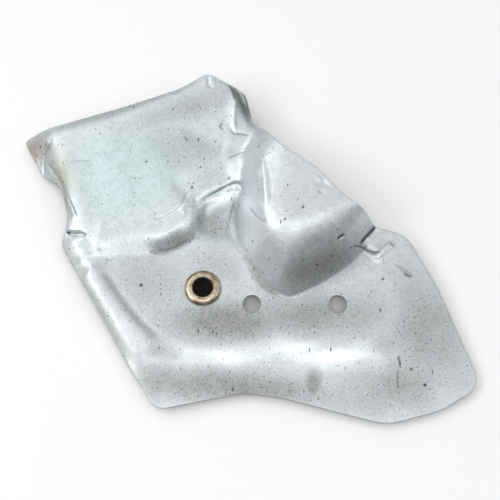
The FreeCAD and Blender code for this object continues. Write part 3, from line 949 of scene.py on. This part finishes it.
def noise(tree, place, scale, detail):
    node = tree.nodes.new("ShaderNodeTexNoise")
    node.inputs["Scale"].default_value = scale
    node.inputs["Detail"].default_value = detail
    tree.links.new(place, node.inputs["Vector"])
    return node.outputs["Fac"]


def specks(tree, place, scale, density, size):
    """Spots strewn over the plan: the share of cells that hold one, and the largest radius in cells."""
    cells = tree.nodes.new("ShaderNodeTexVoronoi")
    cells.voronoi_dimensions = "2D"
    cells.inputs["Scale"].default_value = scale
    tree.links.new(place, cells.inputs["Vector"])
    lot = tree.nodes.new("ShaderNodeSeparateColor")
    tree.links.new(cells.outputs["Color"], lot.inputs["Color"])
    reach = ranged(tree, lot.outputs["Green"], 0.0, 1.0, SPECK_LEAST * size, size)
    core = maths(tree, "MULTIPLY", reach, SPECK_CORE)
    spot = ranged(tree, cells.outputs["Distance"], reach, core)
    held = maths(tree, "LESS_THAN", lot.outputs["Red"], density)
    strength = ranged(tree, lot.outputs["Blue"], 0.0, 1.0, SPECK_FAINT, 1.0)
    return maths(tree, "MULTIPLY", maths(tree, "MULTIPLY", spot, held), strength)


def roughened(tree, shader, height, strength, distance):
    """Fine bump on a shader."""
    node = tree.nodes.new("ShaderNodeBump")
    node.inputs["Strength"].default_value = strength
    node.inputs["Distance"].default_value = distance
    tree.links.new(height, node.inputs["Height"])
    tree.links.new(node.outputs["Normal"], shader.inputs["Normal"])


def dirt_and_shade_cover(tree, grime_and_shade, broad, middle):
    """Patchy dirt and painted shade, with a thin film of dirt everywhere."""
    patchy = ranged(tree, broad, *NOISE_BAND, *PATCH_BROAD)
    patchy = maths(tree, "ADD", patchy, ranged(tree, middle, *NOISE_BAND, *PATCH_MIDDLE))
    film = ranged(tree, middle, *FILM_BAND, *FILM)
    cover = maths(tree, "ADD", maths(tree, "MULTIPLY", grime_and_shade, patchy), film)
    return maths(tree, "MINIMUM", cover, 1.0)


def strewn(tree, place, grime_and_shade):
    """Specks, dust and dashes, thicker where the layer of dirt and painted shade is strong."""
    density = ranged(tree, grime_and_shade, *SPECK_GRIME, *SPECK_DENSITY)
    spots = specks(tree, place, SPECK_SCALE, density, SPECK_SIZE)
    density = ranged(tree, grime_and_shade, *SPECK_GRIME, *DUST_DENSITY)
    dust = specks(tree, place, DUST_SCALE, density, DUST_SIZE)
    dust = maths(tree, "MULTIPLY", dust, DUST_SHADE)
    density = ranged(tree, grime_and_shade, *DASH_GRIME, *DASH_DENSITY)
    dashes = specks(tree, spot_place(tree, DASH_STRETCH), DASH_SCALE, density, DASH_SIZE)
    return maths(tree, "MAXIMUM", spots, maths(tree, "MAXIMUM", dust, dashes))


def sheet_material():
    """Dull aluminised metal under dirt, painted shade, painted highlights, baked tan, specks and dark marks.
    """
    material, tree, shader = nodes_of("aluminised_sheet")
    place = spot_place(tree, PLAIN)
    broad = noise(tree, place, *BROAD_NOISE)
    middle = noise(tree, place, *MIDDLE_NOISE)
    grain = noise(tree, place, *GRAIN_NOISE)
    grime_and_shade = layer(tree, "grime_and_shade")
    marks_and_shade = layer(tree, "marks_and_shade")
    dirt_and_shade = dirt_and_shade_cover(tree, grime_and_shade, broad, middle)
    bake = maths(tree, "MULTIPLY", layer(tree, "tan"), ranged(tree, middle, *WIDE_BAND, *BAKE))
    stain = strewn(tree, place, grime_and_shade)
    half_middle = maths(tree, "MULTIPLY", middle, FLECK_SHARE)
    half_grain = maths(tree, "MULTIPLY", grain, FLECK_SHARE)
    fleck = ranged(tree, maths(tree, "ADD", half_middle, half_grain), *FLECK_BAND)

    clean = blend(tree, fleck, CLEAN_LOW, CLEAN_HIGH)
    clean = blend(tree, layer(tree, "cool"), clean, COOL, "MULTIPLY")
    # Painted highlights laid over the clean metal
    clean = blend(tree, layer(tree, "painted_highlight"), clean, PAINTED_HIGHLIGHT_COLOUR)
    colour = blend(tree, dirt_and_shade, clean, blend(tree, fleck, DIRT_AND_SHADE_LOW, DIRT_AND_SHADE_HIGH))
    colour = blend(tree, maths(tree, "MINIMUM", bake, 1.0), colour, BAKED)
    colour = blend(tree, maths(tree, "MULTIPLY", stain, SPECK_SHADE), colour, SPECK)
    colour = blend(tree, marks_and_shade, colour, BLACK)
    feed(tree, colour, shader.inputs["Base Color"])

    dull = maths(tree, "MAXIMUM", maths(tree, "MAXIMUM", dirt_and_shade, bake), maths(tree, "MAXIMUM", stain, marks_and_shade))
    feed(tree, ranged(tree, dull, 0.0, 1.0, CLEAN_METAL, DIRTY_METAL), shader.inputs["Metallic"])
    rough = ranged(tree, dull, 0.0, 1.0, CLEAN_ROUGH, DIRTY_ROUGH)
    rough = maths(tree, "ADD", rough, ranged(tree, broad, *WIDE_BAND, *ROUGH_SWING))
    feed(tree, rough, shader.inputs["Roughness"])
    relief = maths(tree, "ADD", maths(tree, "MULTIPLY", middle, BUMP_MIDDLE), grain)
    roughened(tree, shader, relief, *SHEET_BUMP)
    return material


def bush_painted_shade(tree, place):
    """Painted shade down the bore and below the flange."""
    height = tree.nodes.new("ShaderNodeSeparateXYZ")
    tree.links.new(place, height.inputs["Vector"])
    z = height.outputs["Z"]
    radius = tree.nodes.new("ShaderNodeVectorMath")
    radius.operation = "LENGTH"
    tree.links.new(spot_place(tree, PLAN_ONLY), radius.inputs[0])
    inner = ranged(tree, radius.outputs["Value"], *(r * MM for r in BORE_SHADE_R))
    deep = ranged(tree, z, *(level * MM for level in BORE_SHADE_Z))
    under = ranged(tree, z, *(level * MM for level in UNDER_FLANGE_SHADE_Z))
    return maths(tree, "MAXIMUM", maths(tree, "MULTIPLY", inner, deep), under)


def bush_material():
    """Worn and pitted bronze, painted black for shade down the bore and below the flange."""
    material, tree, shader = nodes_of("plated_bush")
    place = spot_place(tree, PLAIN)
    middle = noise(tree, place, *MIDDLE_NOISE)
    grain = noise(tree, place, *GRAIN_NOISE)
    painted_shade = bush_painted_shade(tree, place)
    wear = maths(tree, "ADD", middle, maths(tree, "MULTIPLY", grain, WEAR_GRAIN))
    colour = blend(tree, ranged(tree, wear, *WEAR_BAND), BRONZE, BRONZE_WORN)
    colour = blend(tree, ranged(tree, grain, *PIT_BAND, *PIT), colour, BRONZE_DARK)
    colour = blend(tree, painted_shade, colour, BLACK)
    feed(tree, colour, shader.inputs["Base Color"])
    feed(tree, ranged(tree, painted_shade, 0.0, 1.0, 1.0, 0.0), shader.inputs["Metallic"])
    rough = ranged(tree, middle, *NOISE_BAND, *BUSH_ROUGH)
    rough = maths(tree, "MAXIMUM", rough, maths(tree, "MULTIPLY", painted_shade, PAINTED_SHADE_ROUGH))
    feed(tree, rough, shader.inputs["Roughness"])
    roughened(tree, shader, grain, *BUSH_BUMP)
    return material


def shade_disc_material():
    """Dull black finish of the disc that stands in for the shade in the bore."""
    material, tree, shader = nodes_of("bore_shade_disc")
    disc_grain = noise(tree, spot_place(tree, PLAIN), *GRAIN_NOISE)
    feed(tree, blend(tree, disc_grain, BLACK, SHADE_DISC_COLOUR), shader.inputs["Base Color"])
    shader.inputs["Roughness"].default_value = SHADE_DISC_ROUGH
    shader.inputs["Specular IOR Level"].default_value = SHADE_DISC_GLOSS
    roughened(tree, shader, disc_grain, *SHADE_DISC_BUMP)
    return material


def dress(obj, material):
    """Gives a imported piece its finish."""
    for slot in obj.material_slots:
        slot.material = material


def make_shade_disc(material):
    """A black disc low in the bore of the bush that stands in for its shade: dished, with an uneven face."""
    dice = np.random.default_rng(SHADE_DISC_SEED)
    upper = [(share, SHADE_DISC_Z + rise) for share, rise in SHADE_DISC_RINGS]
    lower = [(share, SHADE_DISC_Z - SHADE_DISC_THICK) for share, _ in reversed(SHADE_DISC_RINGS)]
    rows = []
    for share, z in upper + lower:
        uneven = dice.uniform(-SHADE_DISC_UNEVEN, SHADE_DISC_UNEVEN, SHADE_DISC_TURNS) if share < 1.0 else np.zeros(SHADE_DISC_TURNS)
        rows.append(np.column_stack([SHADE_DISC_R * share * ring(SHADE_DISC_TURNS), z + uneven]))
    faces = []
    for a in range(0, (len(rows) - 1) * SHADE_DISC_TURNS, SHADE_DISC_TURNS):
        b = a + SHADE_DISC_TURNS
        for k in range(SHADE_DISC_TURNS):
            n = (k + 1) % SHADE_DISC_TURNS
            faces.append((a + k, b + k, b + n, a + n))
    last = (len(rows) - 1) * SHADE_DISC_TURNS
    faces.append(tuple(range(SHADE_DISC_TURNS)))
    faces.append(tuple(range(last, last + SHADE_DISC_TURNS))[::-1])
    painted_shade = new_piece("bore_shade_disc", np.vstack(rows), faces, material)
    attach(painted_shade, "root")


def make_floor(z):
    """A pale sweep, flat around the object, with its far rim turned up a little."""
    bpy.ops.mesh.primitive_grid_add(
        x_subdivisions=FLOOR_CELLS, y_subdivisions=FLOOR_CELLS, size=FLOOR_SIZE, location=(0.0, 0.0, z))
    floor = bpy.context.object
    floor.name = "floor"
    for corner in floor.data.vertices:
        corner.co.z = FLOOR_CURL * max(0.0, corner.co.xy.length - FLOOR_FLAT) ** 2
    floor.data.shade_smooth()
    material, _, shader = nodes_of("pale_floor")
    shader.inputs["Base Color"].default_value = FLOOR_COLOUR
    shader.inputs["Roughness"].default_value = FLOOR_ROUGH
    shader.inputs["Specular IOR Level"].default_value = FLOOR_GLOSS
    floor.data.materials.append(material)


def make_world():
    """Soft light from overhead, fading to a dim surround."""
    world = bpy.data.worlds.new("studio")
    world.use_nodes = True
    tree = world.node_tree
    place = tree.nodes.new("ShaderNodeTexCoord")
    facing = tree.nodes.new("ShaderNodeVectorMath")
    facing.operation = "DOT_PRODUCT"
    facing.inputs[1].default_value = WORLD_HEADING
    tree.links.new(place.outputs["Generated"], facing.inputs[0])
    glow = ranged(tree, facing.outputs["Value"], *WORLD_FALL, WORLD_DIM, WORLD_BRIGHT)
    feed(tree, glow, tree.nodes["Background"].inputs["Color"])
    bpy.context.scene.world = world


def make_softbox(name, elevation, azimuth, width, height, power):
    """A rectangular light that faces the object."""
    light = bpy.data.lights.new(name, "AREA")
    light.shape = "RECTANGLE"
    light.size = width
    light.size_y = height
    light.energy = power
    elevation = math.radians(elevation)
    azimuth = math.radians(azimuth)
    flat = math.cos(elevation)
    away = Vector((flat * math.sin(azimuth), flat * math.cos(azimuth), math.sin(elevation)))
    obj = bpy.data.objects.new(name, light)
    bpy.context.scene.collection.objects.link(obj)
    obj.location = LIGHT_AIM + away * SOFTBOX_DISTANCE
    obj.rotation_euler = (-away).to_track_quat("-Z", "Y").to_euler()


def make_camera():
    """A camera at the picture's angle."""
    camera = bpy.data.cameras.new("camera")
    camera.sensor_fit = "HORIZONTAL"
    camera.angle = CAMERA_FOV
    camera.clip_start = CAMERA_CLIP
    obj = bpy.data.objects.new("camera", camera)
    bpy.context.scene.collection.objects.link(obj)
    obj.location = Vector(CAMERA_PLACE * MM)
    obj.rotation_euler = Vector(CAMERA_AHEAD).to_track_quat("-Z", "Y").to_euler()
    bpy.context.scene.camera = obj


make_camera()
make_sheet(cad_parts["pressed_shield"], sheet_material())
dress(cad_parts["flanged_bush"], bush_material())
# A black disc in the bore as painted shade
make_shade_disc(shade_disc_material())
make_floor(cad_box[0].z)
make_world()
for softbox in SOFTBOXES:
    make_softbox(*softbox)
bpy.context.scene.view_settings.view_transform = "Standard"
